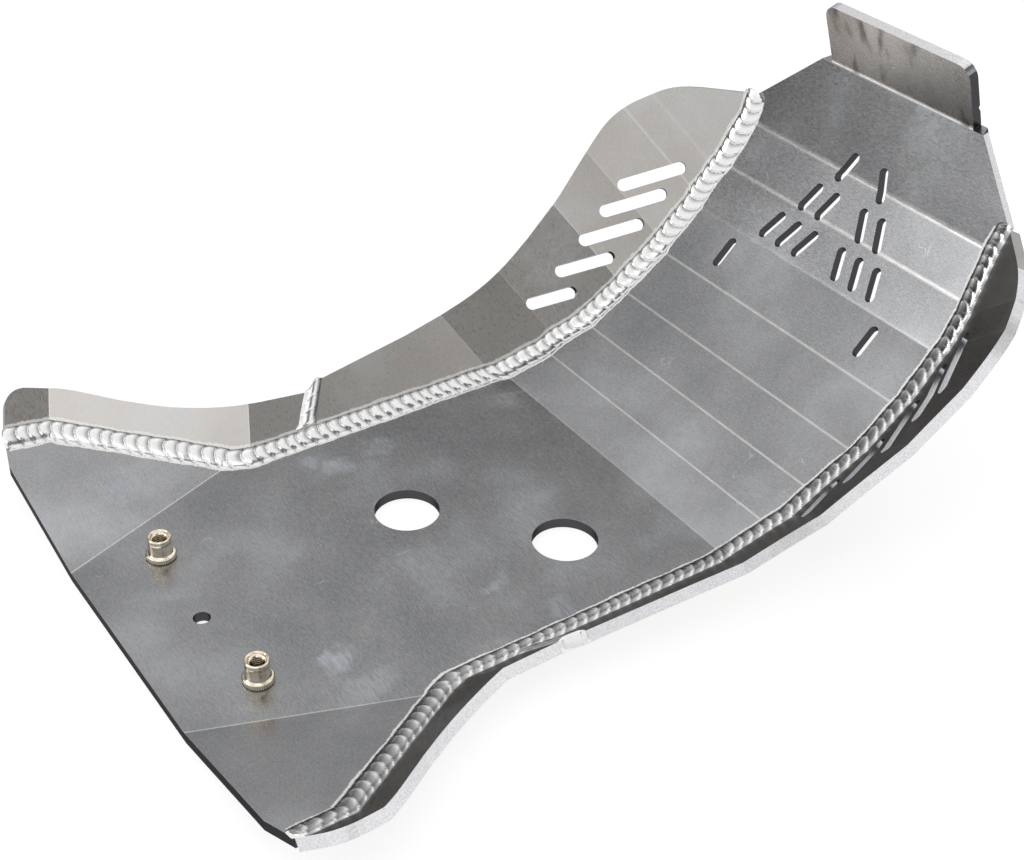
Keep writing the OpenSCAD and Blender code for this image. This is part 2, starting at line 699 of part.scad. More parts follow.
// Bead over the butt joint of the wings, up the face and over the top edge.
// Its points are given along the seam, up the face and in through the sheet.
function joint_point(x, e, n) = [joint_x + x + (e - joint_height) * tan(joint_rake), seam_half, 0]
    + e * [0, sin(lean), cos(lean)] + n * through();
half_bead = joint_bead / 2;
half_gap = joint_gap / 2 / cos(joint_rake);
function rear_edge(x) = joint_height - joint_slope * x / (1 + joint_slope * tan(joint_rake));
function front_edge(x) = (front_joint + joint_slope * (x - joint_height * tan(joint_rake)))
    / (1 - joint_slope * tan(joint_rake));
function face_ring(e, c, bow) = [
    joint_point(-half_bead, e, 0), joint_point(-0.55 * half_bead, e + 0.7 * bow, -0.7 * c),
    joint_point(0, e + bow, -c), joint_point(0.55 * half_bead, e + 0.7 * bow, -0.7 * c),
    joint_point(half_bead, e, 0), joint_point(half_gap, e, 0), joint_point(-half_gap, e, 0)];
function edge_ring(n, away, c) = let(h = half_bead) [
    joint_point(-h, rear_edge(-h), n),
    joint_point(-0.6 * h, rear_edge(-0.6 * h) + 0.6 * c, n - 0.6 * away),
    joint_point(-0.3 * h, rear_edge(-0.3 * h) + 0.3 * joint_step + 0.6 * c, n - away),
    joint_point(0.25 * h, front_edge(0.25 * h) + 0.6 * c, n - 0.8 * away),
    joint_point(h, front_edge(h), n),
    joint_point(half_gap, front_edge(half_gap), n),
    joint_point(-half_gap, rear_edge(-half_gap), n)];
face_steps = round((joint_height - weld_leg - 2) / (ripple_pitch / 2));
joint_rings = concat(
    [for (i = [0:face_steps]) face_ring(weld_leg + 0.2
        + i * (joint_height - weld_leg - 2.2) / face_steps,
        weld_crown - (i % 2 == 0 ? 0 : ripple_depth), i == 0 ? 0 : 1)],
    [edge_ring(0, 0.75 * weld_crown, 0.9 * weld_crown),
     edge_ring(0.4 * sheet, 0, weld_crown), edge_ring(0.75 * sheet, 0, 0.85 * weld_crown),
     edge_ring(0.97 * sheet, 0, 0.3 * weld_crown)]);
module butt_weld() {
    color(weld_colour)
        place()
            tube(joint_rings);
}

module front_wing_left() { front_wing(); }
module front_wing_right() { mirror([0, 1, 0]) front_wing(); }
module rear_wing_left() { rear_wing(); }
module rear_wing_right() { mirror([0, 1, 0]) rear_wing(); }
module seam_weld_left() { seam_weld(-1); }
module seam_weld_right() { mirror([0, 1, 0]) seam_weld(1); }
module butt_weld_left() { butt_weld(); }
module butt_weld_right() { mirror([0, 1, 0]) butt_weld(); }
module rivet_nut_left() { rivet_nut(); }
module rivet_nut_right() { mirror([0, 1, 0]) rivet_nut(); }

center_plate();
front_wing_left();
front_wing_right();
rear_wing_left();
rear_wing_right();
seam_weld_left();
seam_weld_right();
butt_weld_left();
butt_weld_right();
rivet_nut_left();
rivet_nut_right();
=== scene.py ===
import math
import random

import bpy
from mathutils import Matrix, Vector


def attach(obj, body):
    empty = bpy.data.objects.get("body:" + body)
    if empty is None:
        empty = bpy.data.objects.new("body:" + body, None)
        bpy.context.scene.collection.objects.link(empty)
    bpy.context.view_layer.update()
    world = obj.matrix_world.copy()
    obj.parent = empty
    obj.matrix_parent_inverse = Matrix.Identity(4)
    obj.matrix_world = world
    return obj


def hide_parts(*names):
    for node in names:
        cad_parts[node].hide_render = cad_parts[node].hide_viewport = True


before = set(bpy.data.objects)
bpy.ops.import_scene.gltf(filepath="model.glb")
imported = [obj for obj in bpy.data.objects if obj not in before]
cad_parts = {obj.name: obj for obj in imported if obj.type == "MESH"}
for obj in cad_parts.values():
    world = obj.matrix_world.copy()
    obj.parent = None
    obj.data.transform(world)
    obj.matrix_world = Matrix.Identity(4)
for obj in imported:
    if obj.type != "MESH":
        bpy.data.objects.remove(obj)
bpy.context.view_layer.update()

MM = 0.001


# ------------------------------------------------------------------ camera
# It stands behind the tail, to the right, and looks down the plate at 35 degrees.
EYE = Vector((-0.26738, -0.46550, 0.44282))
RIGHT = Vector((0.824564, -0.565191, 0.025560))
DOWN = Vector((-0.308595, -0.487160, -0.816973))
AHEAD = Vector((0.474197, 0.665759, -0.576110))

camera_data = bpy.data.cameras.new("camera")
camera_data.sensor_fit = "HORIZONTAL"
camera_data.sensor_width = 36
camera_data.lens = 57.529
camera_data.clip_start = 0.01
camera_data.clip_end = 50
camera = bpy.data.objects.new("camera", camera_data)
camera.matrix_world = Matrix((
    (RIGHT.x, -DOWN.x, -AHEAD.x, EYE.x),
    (RIGHT.y, -DOWN.y, -AHEAD.y, EYE.y),
    (RIGHT.z, -DOWN.z, -AHEAD.z, EYE.z),
    (0, 0, 0, 1)))
bpy.context.scene.collection.objects.link(camera)
bpy.context.scene.camera = camera
bpy.context.scene.view_settings.view_transform = "Standard"


# -------------------------------------------------- the seam, in millimetres
# These sizes repeat the part's source. X is 0 at the first crease of the floor and Z is 0
# on the floor's top face; angles are in degrees.
SHEET = 4.76
FLOOR = 233.5
SEAM_HALF = 84.6
EAR_HALF, EAR_TURN, EAR_BEND = 53.5, 20.5, 13.2
CREASES, FIRST_BEND, PANEL_BEND = 8, 11.2, 8.26
LOWER_PANEL, MIDDLE_PANEL, UPPER_PANEL, FACE_PANEL = 25.4, 27.9, 24.6, 42.4
LEAN, FRONT_RAKE, REAR_RAKE = 48, 19.5, -20.5
JOINT_X = 138 - FLOOR
JOINT_HEIGHT, JOINT_SLOPE = 20.8, 0.11
JOINT_STEP, JOINT_RAKE = 3.6, 33
LEG, CROWN = 5.6, 1.6
INSERT_AT, INSERT_HALF = 35.4, 43.6


def sine(a):
    return math.sin(math.radians(a))


def cosine(a):
    return math.cos(math.radians(a))


def slope(i):
    """Tilt of panel i of the curved front; panel 0 is the flat floor."""
    return 0 if i < 1 else FIRST_BEND + (i - 1) * PANEL_BEND


def panel(i):
    return LOWER_PANEL if i < 4 else MIDDLE_PANEL if i < 6 else UPPER_PANEL if i < 8 else FACE_PANEL


def arc(i):
    """Distance along the sheet from the first crease to crease i."""
    return sum(panel(k) for k in range(1, i))


def crease(i):
    """Crease where panel i of the floor starts, as (x, z)."""
    x = sum(panel(k) * cosine(slope(k)) for k in range(1, i))
    z = sum(panel(k) * sine(slope(k)) for k in range(1, i))
    return x, z


def on_profile(s):
    i = sum(1 for k in range(1, CREASES + 1) if arc(k) <= s)
    if i < 1:
        return s, 0.0
    x, z = crease(i)
    return x + (s - arc(i)) * cosine(slope(i)), z + (s - arc(i)) * sine(slope(i))


def ear_height(x, y):
    gain = math.tan(math.radians(EAR_BEND))
    return gain * ((y - EAR_HALF) * cosine(EAR_TURN) - (x + FLOOR) * sine(EAR_TURN))


def skin(s, y):
    """Point of the floor's top face at distance s past the first crease."""
    if s > 0:
        x, z = on_profile(s)
        return Vector((x, y, z))
    return Vector((s, y, max(0.0, ear_height(s, y))))


def along(rake):
    """Direction square to a wing's creases, in the wing's leaning surface."""
    return Vector((cosine(rake), sine(rake) * sine(LEAN), sine(rake) * cosine(LEAN)))


def up(rake):
    """Direction of a wing's creases, from the floor to the wing's top edge."""
    return Vector((-sine(rake), cosine(rake) * sine(LEAN), cosine(rake) * cosine(LEAN)))


THROUGH = Vector((0, cosine(LEAN), -sine(LEAN)))
NOSE = arc(CREASES) + 10.5
# Distances along the floor where the creases of the wings meet the seam, and the seam's
# distance from the middle line there.
FRONT_STATIONS = [JOINT_X - 21.5, -5, 34, 78, 108, 137, 152, NOSE]
FRONT_HALVES = [SEAM_HALF] * 5 + [SEAM_HALF - 0.6, SEAM_HALF - 1.8, SEAM_HALF - 4.4]
REAR_STATIONS = [4 - FLOOR, 23.5 - FLOOR, 97.6 - FLOOR, JOINT_X + 20]
REAR_HALVES = [132.8, 131.6, SEAM_HALF, SEAM_HALF]


def feet(stations, halves, rake):
    """Creases of a wing, seen along them: each is a point (along, through)."""
    points = [skin(s, y) for s, y in zip(stations, halves)]
    return [(p.dot(along(rake)), p.dot(THROUGH)) for p in points]


FRONT_FEET = feet(FRONT_STATIONS, FRONT_HALVES, FRONT_RAKE)
REAR_FEET = feet(REAR_STATIONS, REAR_HALVES, REAR_RAKE)


def seam(s):
    """Corner where the floor's top face meets the inner face of a wing."""
    stations, line, rake = ((FRONT_STATIONS, FRONT_FEET, FRONT_RAKE) if s >= JOINT_X
                            else (REAR_STATIONS, REAR_FEET, REAR_RAKE))
    i = min(len(line) - 2, max(0, sum(1 for c in stations if c <= s) - 1))
    (a0, b0), (a1, b1) = line[i], line[i + 1]

    def off(y):
        p = skin(s, y)
        a, b = p.dot(along(rake)), p.dot(THROUGH)
        return (a1 - a0) * (b - b0) - (b1 - b0) * (a - a0)

    low, high = 60.0, 150.0  # the seam is between these distances from the middle line
    for halving in range(40):
        middle = (low + high) / 2
        if off(low) * off(middle) <= 0:
            high = middle
        else:
            low = middle
    return skin(s, (low + high) / 2)


def place(p, side):
    """From the seam's millimetres to the part's metres; side is 1 left, -1 right."""
    return Vector((p.x + FLOOR / 2, side * p.y, p.z + SHEET)) * MM


def ease(value, low, high):
    """Smooth step from 0 at low to 1 at high."""
    t = min(1.0, max(0.0, (value - low) / (high - low)))
    return t * t * (3 - 2 * t)


def wander(t, seed):
    """Smooth number between about -1 and 1 that changes along a hand-laid bead."""
    return (math.sin(t / 6.1 + seed) + math.sin(t / 2.7 + 2.3 * seed)
            + math.sin(t / 13.3 + 0.7 * seed)) / 3


# ------------------------------------------------------------------ meshes
def piece(name, points, faces, replaced, values, toes=()):
    """A piece on the root body. Its values colour it, and edges between toes are sharp."""
    mesh = bpy.data.meshes.new(name)
    mesh.from_pydata([p[:] for p in points], [], faces)
    layer = mesh.attributes.new("zone", "FLOAT", "POINT")
    layer.data.foreach_set("value", values)
    mesh.polygons.foreach_set("use_smooth", [True] * len(mesh.polygons))
    toes = set(toes)
    for edge in mesh.edges:
        edge.use_edge_sharp = edge.vertices[0] in toes and edge.vertices[1] in toes
    mesh.update()
    made = bpy.data.objects.new(name, mesh)
    bpy.context.scene.collection.objects.link(made)
    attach(made, "root")
    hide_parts(replaced)
    return made


def skein(rows, closed):
    """Faces between rows of equally many points."""
    m = len(rows[0])
    faces = []
    for i in range(len(rows) - 1):
        for j in range(m if closed else m - 1):
            e = (j + 1) % m
            faces.append((rows[i][j], rows[i][e], rows[i + 1][e], rows[i + 1][j]))
    return faces


RIPPLE = 5.6  # millimetres from puddle to puddle, as in the photograph
ACROSS = 16  # steps across a bead
ROW = 0.42  # millimetres from row to row along a seam bead
BOW, SKEW = 3.4, 1.6  # how far a puddle's edge bulges forward, and lags at the floor
PUDDLE_RISE = {1: 0.42, -1: 0.36}  # step from puddle to puddle, left and right bead


def ripple(turn):
    """Height of one puddle over the last: a steep step up, then a long fall."""
    u = turn % 1.0
    rings = 0.05 * math.sin(44 * u) * (1 - ease(u, 0.1, 0.6))
    return ease(u, 0.0, 0.14) * (1 - 0.95 * u) + rings * ease(u, 0.0, 0.14)


def toe_heading(s):
    """Direction, in plan, from the seam to the bead's toe on the floor."""
    a = seam(REAR_STATIONS[2] - 30) - seam(REAR_STATIONS[1])
    flare = math.degrees(math.atan2(-a.y, a.x))
    b = seam(REAR_STATIONS[1]) - seam(REAR_STATIONS[0])
    tail = math.degrees(math.atan2(-b.y, b.x))
    into_flare = min(1, max(0, (s - REAR_STATIONS[1] + 5) / 10))
    into_straight = min(1, max(0, (s - REAR_STATIONS[2] + 6) / 12))
    return -90 - tail + (tail - flare) * into_flare + flare * into_straight


def seam_bead(side):
    """The fillet bead of one side, laid as overlapping puddles, with its etched border."""
    rng = random.Random(11 if side > 0 else 12)
    stations = [REAR_STATIONS[0]]
    while stations[-1] < NOSE:
        s = stations[-1]
        step = (seam(min(NOSE, s + 0.5)) - seam(s)).length / 0.5 if s + 0.5 < NOSE else 1
        stations.append(min(NOSE, s + ROW / max(step, 0.5)))
    corners = [seam(s) for s in stations]
    points, values, rows, toes = [], [], [], []
    borders = ([], [])
    t = 0.0
    for i, s in enumerate(stations):
        k = corners[i]
        if i:
            t += (k - corners[i - 1]).length
        f = (corners[min(i + 6, len(corners) - 1)] - corners[max(i - 6, 0)]).normalized()
        heading = toe_heading(s)
        rake = REAR_RAKE + (FRONT_RAKE - REAR_RAKE) * min(1, max(
            0, (s - REAR_STATIONS[2]) / (-5 - REAR_STATIONS[2])))
        climb = Vector((-math.tan(math.radians(rake)), sine(LEAN), cosine(LEAN)))

        def on_floor(reach, lift):
            if s > 0:
                return k + Vector((0, -reach, 0)) + lift * Vector((0, 0, 1))
            x, y = k.x + reach * cosine(heading), k.y + reach * sine(heading)
            return Vector((x, y, max(0.0, ear_height(x, y)) + lift))

        laid = t * (1 if side > 0 else -1) + 0.7 * wander(t, 3 + side)
        leg = LEG * (1 + 0.05 * wander(t, 1 + side)) + 0.25 * (ripple(laid / RIPPLE) - 0.5)
        low, high = on_floor(leg, 0.02), k + leg * climb
        n = f.cross(high - low).normalized()
        row = []
        for j in range(ACROSS + 1):
            q = j / ACROSS
            hump = 4 * q * (1 - q)
            turn = (laid + BOW * hump * (1 + 0.2 * wander(t, 5 + side))
                    - SKEW * side * (1 - q) + 0.5 * wander(t, 4)) / RIPPLE
            rise = (CROWN * (1 + 0.06 * wander(t, 7 + side)) - 0.15) * hump ** 0.8
            rise += PUDDLE_RISE[side] * ripple(turn) * hump ** 0.5
            points.append(low + q * (high - low) + rise * n)
            # The zone runs through each puddle and picks its painted highlight and painted shade.
            values.append(turn % 1.0 * 0.5)
            row.append(len(points) - 1)
        points.append(k)
        values.append(0.0)
        row.append(len(points) - 1)
        rows.append(row)
        toes += [row[0], row[ACROSS]]
        fray = 0.8 + 0.35 * wander(t, 9 + side)
        for border, wide in ((borders[0], fray + 0.35 * rng.random()),
                             (borders[1], fray + 0.6 * rng.random() ** 2)):
            inner = border is borders[0]
            line = []
            for reach in (leg - 0.5, leg + 0.5 * wide, leg + wide):
                lift = 0.06 if reach < leg + wide - 1e-6 else 0.015
                points.append(on_floor(reach, lift) if inner else k + reach * climb - lift * THROUGH)
                values.append(1.0 if inner else 0.75)
                line.append(len(points) - 1)
            border.append(line)

    def dome(row, way):
        """Rings that close the bead's end with a rounded last puddle."""
        ring = [points[r].copy() for r in row]
        middle = sum((points[r] for r in (row[0], row[ACROSS // 2], row[ACROSS])), Vector()) / 3
        layers = []
        for a in (20, 40, 58, 72, 83, 90):
            layer = []
            for p in ring:
                shrunk = 0.25 + 0.75 * cosine(a)
                points.append(middle + shrunk * (p - middle) + 2 * sine(a) * way)
                values.append(0.1)
                layer.append(len(points) - 1)
            layers.append(layer)
        return layers

    tail_way = (corners[0] - corners[20]).normalized()
    nose_way = Vector((cosine(slope(CREASES)), -0.1, sine(slope(CREASES)))).normalized()
    rows = dome(rows[0], tail_way)[::-1] + rows + dome(rows[-1], nose_way)
    faces = skein(rows, True) + [tuple(reversed(rows[0])), tuple(rows[-1])]
    for border in borders:
        faces += skein(border, False)
    name = "seam_bead_left" if side > 0 else "seam_bead_right"
    node = "seam_weld_left" if side > 0 else "seam_weld_right"
    return piece(name, [place(p, side) for p in points], faces, node, values, toes)


HALF_BEAD = 4.3  # half the width of a joint bead


def joint_bead(side):
    """The bead over the butt joint: up the wing's face, then over the stepped top edge."""
    points, values, rows, toes = [], [], [], []
    lean = math.tan(math.radians(JOINT_RAKE))
    low = LEG + 0.2

    def at(x, e, n):
        """Point at x from the joint, e up the wing from the seam, n under its inner face."""
        return (Vector((JOINT_X + x + (e - JOINT_HEIGHT) * lean, SEAM_HALF, 0))
                + e * Vector((0, sine(LEAN), cosine(LEAN))) + n * THROUGH)

    def top(x):
        """Height of the wings' top edge, which steps up to the front wing at the joint."""
        rear = JOINT_HEIGHT - JOINT_SLOPE * x / (1 + JOINT_SLOPE * lean)
        front = ((JOINT_HEIGHT + JOINT_STEP + JOINT_SLOPE * (x - JOINT_HEIGHT * lean))
                 / (1 - JOINT_SLOPE * lean))
        return rear + (front - rear) * ease(x, -2.6, 0.5)

    steps = [(k / 48, 0.0, 0.0) for k in range(48)]
    steps += [(1.0, 0.0, a) for a in range(0, 91, 9)]
    steps += [(1.0, n, 90.0) for n in (0.8, 1.6, 2.4, 3.2, 3.9, 4.4, 4.7)]
    t = 0.0
    for climb, n, turned in steps:
        t += 0.36
        row = []
        fade = 1 - ease(n, 2.8, 4.7)
        wide = HALF_BEAD * (1 + 0.05 * wander(t, 2)) + 1.2 * (1 - ease(climb, 0.0, 0.2))
        for j in range(ACROSS + 1):
            q = 2 * j / ACROSS - 1
            hump = 1 - q * q
            turn = (t - 1.1 * hump) / RIPPLE
            rise = (1.35 * hump ** 0.8 + 0.18 * ripple(turn) * hump ** 0.5) * fade
            e = low + climb * (top(wide * q) - low)
            points.append(at(wide * q, e + rise * sine(turned), n - rise * cosine(turned)))
            # The zone runs through each puddle and picks its painted highlight and painted shade.
            values.append(0.12 + 0.24 * (turn % 1.0))
            row.append(len(points) - 1)
        toes += [row[0], row[ACROSS]]
        points.append(at(0, low + climb * (JOINT_HEIGHT - low) - (0.3 if turned else 0), max(n, 0.2)))
        values.append(0.0)
        row.append(len(points) - 1)
        rows.append(row)
    faces = skein(rows, True) + [tuple(reversed(rows[0])), tuple(rows[-1])]
    name = "joint_bead_left" if side > 0 else "joint_bead_right"
    node = "butt_weld_left" if side > 0 else "butt_weld_right"
    return piece(name, [place(p, side) for p in points], faces, node, values, toes)


def insert(side):
    """Threaded insert: countersunk head, knurled collar, body, rolled mouth and thread."""
    around = 3 * 46  # three steps for each of the collar's 46 teeth
    # Radius, height over the floor and share of the knurl's depth.
    profile = [(2.95, -4.76, 0), (6.8, -4.76, 0), (4.95, -2.9, 0), (4.95, 0.0, 0), (5.6, 0.02, 0),
               (6.2, 0.3, 0.4), (6.37, 0.75, 1), (6.4, 1.4, 1), (6.37, 2.05, 1), (6.2, 2.5, 0.4),
               (5.7, 2.78, 0), (5.05, 2.9, 0), (4.97, 3.3, 0), (4.93, 5.2, 0), (4.88, 7.2, 0),
               (4.82, 8.5, 0), (4.66, 8.75, 0), (4.64, 9.1, 0), (4.86, 9.35, 0), (4.93, 9.8, 0),
               (4.9, 10.4, 0), (4.7, 10.78, 0), (4.4, 10.9, 0), (4.1, 10.82, 0), (3.9, 10.6, 0),
               (3.75, 10.1, 0), (3.55, 9.6, 0), (3.2, 9.25, 0)]
    z = 9.0
    while z > -4.7:
        profile.append((None, z, 0))
        z -= 0.14
    points, values, rows = [], [], []
    centre = Vector((INSERT_AT - FLOOR, INSERT_HALF, 0))
    for r, z, knurl in profile:
        row = []
        for j in range(around):
            a = 2 * math.pi * j / around
            if r is None:  # the thread, of 1 mm pitch
                u = (z + j / around) % 1.0
                radius = 2.55 + 0.42 * abs(2 * u - 1)
            else:
                radius = r - 0.32 * knurl * (1 if j % 3 == 0 else 0)
            points.append(centre + Vector((radius * math.cos(a), radius * math.sin(a), z)))
            # The thread is marked here so that its material paints shade into it.
            values.append(0.0 if r is not None else 1.0)
            row.append(len(points) - 1)
        rows.append(row)
    name = "insert_left" if side > 0 else "insert_right"
    node = "rivet_nut_left" if side > 0 else "rivet_nut_right"
    rows.append(rows[0])
    faces = [f[::-1] for f in skein(rows, True)]
    return piece(name, [place(p, side) for p in points], faces, node, values)


beads = [seam_bead(1), seam_bead(-1), joint_bead(1), joint_bead(-1)]
inserts = [insert(1), insert(-1)]


# --------------------------------------------------------------- materials
def linear(code):
    """An sRGB hex colour as the linear RGBA that the shaders take."""
    parts = [int(code[i:i + 2], 16) / 255 for i in (1, 3, 5)]
    return tuple(c / 12.92 if c <= 0.04045 else ((c + 0.055) / 1.055) ** 2.4
                 for c in parts) + (1.0,)


def add(tree, kind, inputs=None, **settings):
    """A node with its settings, and its inputs as values or as sockets to link."""
    node = tree.nodes.new(kind)
    for name, value in settings.items():
        setattr(node, name, value)
    for name, value in (inputs or {}).items():
        if isinstance(value, bpy.types.NodeSocket):
            tree.links.new(value, node.inputs[name])
        else:
            node.inputs[name].default_value = value
    return node


def stops(node, entries):
    """Sets a colour ramp's stops from pairs of place and grey value or hex colour."""
    ramp = node.color_ramp
    while len(ramp.elements) < len(entries):
        ramp.elements.new(0.5)
    for element, (at, tone) in zip(ramp.elements, sorted(entries, key=lambda e: e[0])):
        element.position = at
    for element, (at, tone) in zip(ramp.elements, sorted(entries, key=lambda e: e[0])):
        element.color = linear(tone) if isinstance(tone, str) else (tone, tone, tone, 1)
    return node


def new_material(name):
    material = bpy.data.materials.new(name)
    material.use_nodes = True
    material.node_tree.nodes.clear()
    return material, material.node_tree


def sheet_metal(name, across, lengthwise, cut_edges, creases, smudges, tones, roughness,
                mirrored=False, lit_face=None, arris=None):
    """Mill-finish aluminium sheet. The rolls leave a fine directional grain which the eye
    sees as a satin sheen, and handling leaves soft pale smears and hair scratches. Each fold
    gets a painted highlight line. Outer cut edges are pale; walls of holes and slots are
    painted dark as shade, and a dark line can be painted along the outer arris."""
    material, tree = new_material(name)
    place_in = add(tree, "ShaderNodeTexCoord").outputs["Object"]
    normal = add(tree, "ShaderNodeNewGeometry").outputs["True Normal"]
    if mirrored:
        flip = (1, -1, 1)
        place_in = add(tree, "ShaderNodeVectorMath", {0: place_in, 1: flip}, operation="MULTIPLY").outputs[0]
        normal = add(tree, "ShaderNodeVectorMath", {0: normal, 1: flip}, operation="MULTIPLY").outputs[0]

    # Rolling grain: streaks about 0.45 mm apart and 2.2 mm long, coarser than the real
    # 0.1 mm so that they show.
    through = Vector(lengthwise).cross(Vector(across))
    streaks = {}
    for socket, toward, spacing in (("Y", lengthwise, 2.2), ("X", across, 0.45), ("Z", through, 0.45)):
        far = add(tree, "ShaderNodeVectorMath", {0: place_in, 1: tuple(toward)},
                  operation="DOT_PRODUCT").outputs["Value"]
        streaks[socket] = add(tree, "ShaderNodeMath", {0: far, 1: 1 / (spacing * MM)},
                              operation="MULTIPLY").outputs[0]
    streaks = add(tree, "ShaderNodeCombineXYZ", streaks).outputs[0]
    grain = add(tree, "ShaderNodeTexNoise", {
        "Vector": streaks, "Scale": 1.0, "Detail": 3.0, "Roughness": 0.6}).outputs["Fac"]
    # Speckle of the oxide, about 0.6 mm, and uneven tone over about 45 mm.
    speckle, cloud = (add(tree, "ShaderNodeTexNoise", {
        "Vector": place_in, "Scale": 1 / (size * MM), "Detail": detail, "Roughness": fade}).outputs["Fac"]
        for size, detail, fade in ((0.6, 2.0, 0.7), (45, 3.0, 0.5)))

    dark, light = tones
    tone = add(tree, "ShaderNodeMath", {0: grain, 1: 0.35, 2: add(
        tree, "ShaderNodeMath", {0: cloud, 1: 0.35}, operation="MULTIPLY").outputs[0]},
        operation="MULTIPLY_ADD").outputs[0]
    tone = add(tree, "ShaderNodeMath", {0: speckle, 1: 0.3, 2: tone}, operation="MULTIPLY_ADD").outputs[0]
    body = stops(add(tree, "ShaderNodeValToRGB", {"Fac": tone}),
                 [(0.39, dark), (0.61, light)]).outputs["Color"]

    # Painted light: faces of the front flange turned one way are painted brighter than the rest, a painted
    # highlight, with a few darker painted reflection streaks.
    if lit_face:
        marks_at = add(tree, "ShaderNodeMapping", {
            "Vector": place_in, "Rotation": (math.radians(25), 0, 0),
            "Scale": (1 / (60 * MM), 1 / (11 * MM), 1 / (25 * MM))}).outputs[0]
        reflected_streaks = add(tree, "ShaderNodeTexNoise", {
            "Vector": marks_at, "Scale": 1.0, "Detail": 2.0}).outputs["Fac"]
        lip_highlight = stops(add(tree, "ShaderNodeValToRGB", {"Fac": reflected_streaks}),
                    [(0.3, "#9c9793"), (0.42, "#e9e4df"), (0.7, "#f4f0ec")]).outputs["Color"]
        facing = add(tree, "ShaderNodeVectorMath", {0: normal, 1: lit_face},
                     operation="DOT_PRODUCT").outputs["Value"]
        facing = add(tree, "ShaderNodeMath", {0: facing, 1: 0.9}, operation="GREATER_THAN").outputs[0]
        body = add(tree, "ShaderNodeMix", {0: facing, 6: body, 7: lip_highlight}, data_type="RGBA").outputs[2]

    # Smears of handling: each an ellipse with a torn rim, filled with fine wipe marks.
    torn = add(tree, "ShaderNodeTexNoise", {
        "Vector": place_in, "Scale": 1 / (9 * MM), "Detail": 4.0}).outputs["Color"]
    centred = add(tree, "ShaderNodeVectorMath", {0: torn, 1: (0.5, 0.5, 0.5)}, operation="SUBTRACT").outputs[0]
    bent = add(tree, "ShaderNodeVectorMath", {0: centred, 1: (16 * MM,) * 3, 2: place_in},
               operation="MULTIPLY_ADD").outputs[0]
    haze = add(tree, "ShaderNodeMapRange", {"Value": cloud, "From Min": 0.52, "From Max": 0.75,
                                            "To Min": 0.0, "To Max": 0.3}).outputs[0]
    for x, y, half_x, half_y, turn, weight in smudges:
        spot = add(tree, "ShaderNodeMapping", {
            "Vector": bent, "Location": (x * MM, y * MM, 0), "Rotation": (0, 0, math.radians(turn)),
            "Scale": (half_x * MM, half_y * MM, 1)}, vector_type="TEXTURE").outputs[0]
        flat = add(tree, "ShaderNodeVectorMath", {0: spot, 1: (1, 1, 0)}, operation="MULTIPLY").outputs[0]
        reach = add(tree, "ShaderNodeVectorMath", {0: flat}, operation="LENGTH").outputs["Value"]
        patch = add(tree, "ShaderNodeMapRange", {"Value": reach, "From Min": 1.0, "From Max": 0.5,
                                                 "To Min": 0.0, "To Max": weight}).outputs[0]
        haze = add(tree, "ShaderNodeMath", {0: haze, 1: patch}, operation="MAXIMUM").outputs[0]
    turned = add(tree, "ShaderNodeMapping", {
        "Vector": place_in, "Rotation": (0, 0, math.radians(35)),
        "Scale": (1 / (0.8 * MM), 1 / (6 * MM), 1 / (2 * MM))}).outputs[0]
    wipe = add(tree, "ShaderNodeTexNoise", {"Vector": turned, "Scale": 1.0, "Detail": 3.0,
                                            "Distortion": 0.6}).outputs["Fac"]
    marks = stops(add(tree, "ShaderNodeValToRGB", {"Fac": wipe}), [(0.35, 0.2), (0.65, 1.0)]).outputs["Color"]
    smear = add(tree, "ShaderNodeMath", {0: haze, 1: marks}, operation="MULTIPLY").outputs[0]
    body = add(tree, "ShaderNodeMix", {0: smear, 6: body, 7: linear("#c9cfd8")}, data_type="RGBA").outputs[2]

    # Hair scratches: thin level lines of a stretched noise, shown in patches.
    scratch_place = add(tree, "ShaderNodeMapping", {
        "Vector": place_in, "Rotation": (0.3, 0.2, math.radians(62)),
        "Scale": (1 / (30 * MM), 1 / (9 * MM), 1 / (30 * MM))}).outputs[0]
    level = add(tree, "ShaderNodeTexNoise", {
        "Vector": scratch_place, "Scale": 1.0, "Detail": 1.0}).outputs["Fac"]
    line = stops(add(tree, "ShaderNodeValToRGB", {"Fac": level}),
                 [(0.498, 0.0), (0.5, 1.0), (0.502, 0.0)]).outputs["Color"]
    where = add(tree, "ShaderNodeTexNoise", {
        "Vector": place_in, "Scale": 1 / (14 * MM), "Detail": 1.0}).outputs["Fac"]
    shown = add(tree, "ShaderNodeMapRange", {"Value": where, "From Min": 0.58, "From Max": 0.64,
                                             "To Min": 0.0, "To Max": 0.28}).outputs[0]
    scratch = add(tree, "ShaderNodeMath", {0: line, 1: shown}, operation="MULTIPLY").outputs[0]
    body = add(tree, "ShaderNodeMix", {0: scratch, 6: body, 7: linear("#e6e6e4")}, data_type="RGBA").outputs[2]

